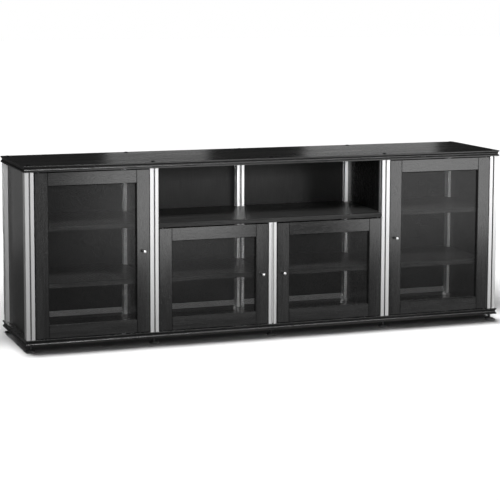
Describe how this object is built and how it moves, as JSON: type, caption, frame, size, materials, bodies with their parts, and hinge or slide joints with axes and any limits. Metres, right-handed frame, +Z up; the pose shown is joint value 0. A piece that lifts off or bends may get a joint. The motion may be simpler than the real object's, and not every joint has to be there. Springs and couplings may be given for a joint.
{
  "type": "media cabinet",
  "caption": "low wide media cabinet of black oak boards on slotted aluminium posts, with perforated metal doors, shelves and an open middle niche",
  "frame": {"origin": "on the floor under the middle of the whole outline, knobs included", "axes": "+X along the width, -Y out of the front with the doors, +Z up"},
  "size_m": [2.19, 0.487, 0.778],
  "materials": {
    "black_oak": "black-stained open-grain oak, satin lacquer",
    "black_panel": "thin black board, matt",
    "satin_aluminium": "satin clear-anodised extrusion",
    "grey_strip": "silver-grey plastic cover strip",
    "black_screen": "black powder-coated perforated steel",
    "black_plastic": "black moulded plastic",
    "black_steel": "black-plated steel",
    "zinc_steel": "zinc-plated steel"
  },
  "bodies": {
    "carcass": {"top_board": "black_oak", "base_board": "black_oak", "middle_shelf": "black_oak", "front_post_1": "satin_aluminium", "front_post_2": "satin_aluminium", "front_post_3": "satin_aluminium", "front_post_4": "satin_aluminium", "front_post_5": "satin_aluminium", "rear_post_1": "satin_aluminium", "rear_post_2": "satin_aluminium", "rear_post_3": "satin_aluminium", "rear_post_4": "satin_aluminium", "rear_post_5": "satin_aluminium", "middle_post_strip": "grey_strip", "left_side_panel": "black_oak", "left_partition": "black_oak", "right_partition": "black_oak", "right_side_panel": "black_oak", "back_panel_1": "black_panel", "back_panel_2": "black_panel", "back_panel_3": "black_panel", "back_panel_4": "black_panel", "back_panel_clamps": "black_plastic", "left_upper_shelf": "black_oak", "left_lower_shelf": "black_oak", "right_upper_shelf": "black_oak", "right_lower_shelf": "black_oak", "centre_left_shelf": "black_oak", "centre_right_shelf": "black_oak", "shelf_brackets": "black_plastic", "top_bolts": "zinc_steel", "bolt_caps": "black_plastic", "foot_sleeves": "black_steel", "foot_pads": "black_plastic", "door_pivot_pins": "zinc_steel", "door_catches": "black_plastic"},
    "door_1": {"door_1_hinge_stile": "black_oak", "door_1_latch_stile": "black_oak", "door_1_rails": "black_oak", "door_1_screen": "black_screen", "door_1_knob": "satin_aluminium", "door_1_fittings": "zinc_steel"},
    "door_2": {"door_2_hinge_stile": "black_oak", "door_2_latch_stile": "black_oak", "door_2_rails": "black_oak", "door_2_screen": "black_screen", "door_2_knob": "satin_aluminium", "door_2_fittings": "zinc_steel"},
    "door_3": {"door_3_hinge_stile": "black_oak", "door_3_latch_stile": "black_oak", "door_3_rails": "black_oak", "door_3_screen": "black_screen", "door_3_knob": "satin_aluminium", "door_3_fittings": "zinc_steel"},
    "door_4": {"door_4_hinge_stile": "black_oak", "door_4_latch_stile": "black_oak", "door_4_rails": "black_oak", "door_4_screen": "black_screen", "door_4_knob": "satin_aluminium", "door_4_fittings": "zinc_steel"}
  },
  "joints": [
    {"name": "door_1_hinge", "type": "hinge", "parent": "carcass", "child": "door_1", "pos_m": [-1.0335, -0.2105, 0.4005], "axis": [0, 0, -1], "range_deg": [0, 110]},
    {"name": "door_2_hinge", "type": "hinge", "parent": "carcass", "child": "door_2", "pos_m": [-0.4985, -0.2105, 0.273], "axis": [0, 0, -1], "range_deg": [0, 110]},
    {"name": "door_3_hinge", "type": "hinge", "parent": "carcass", "child": "door_3", "pos_m": [0.4985, -0.2105, 0.273], "axis": [0, 0, 1], "range_deg": [0, 110]},
    {"name": "door_4_hinge", "type": "hinge", "parent": "carcass", "child": "door_4", "pos_m": [1.0335, -0.2105, 0.4005], "axis": [0, 0, 1], "range_deg": [0, 110]}
  ]
}
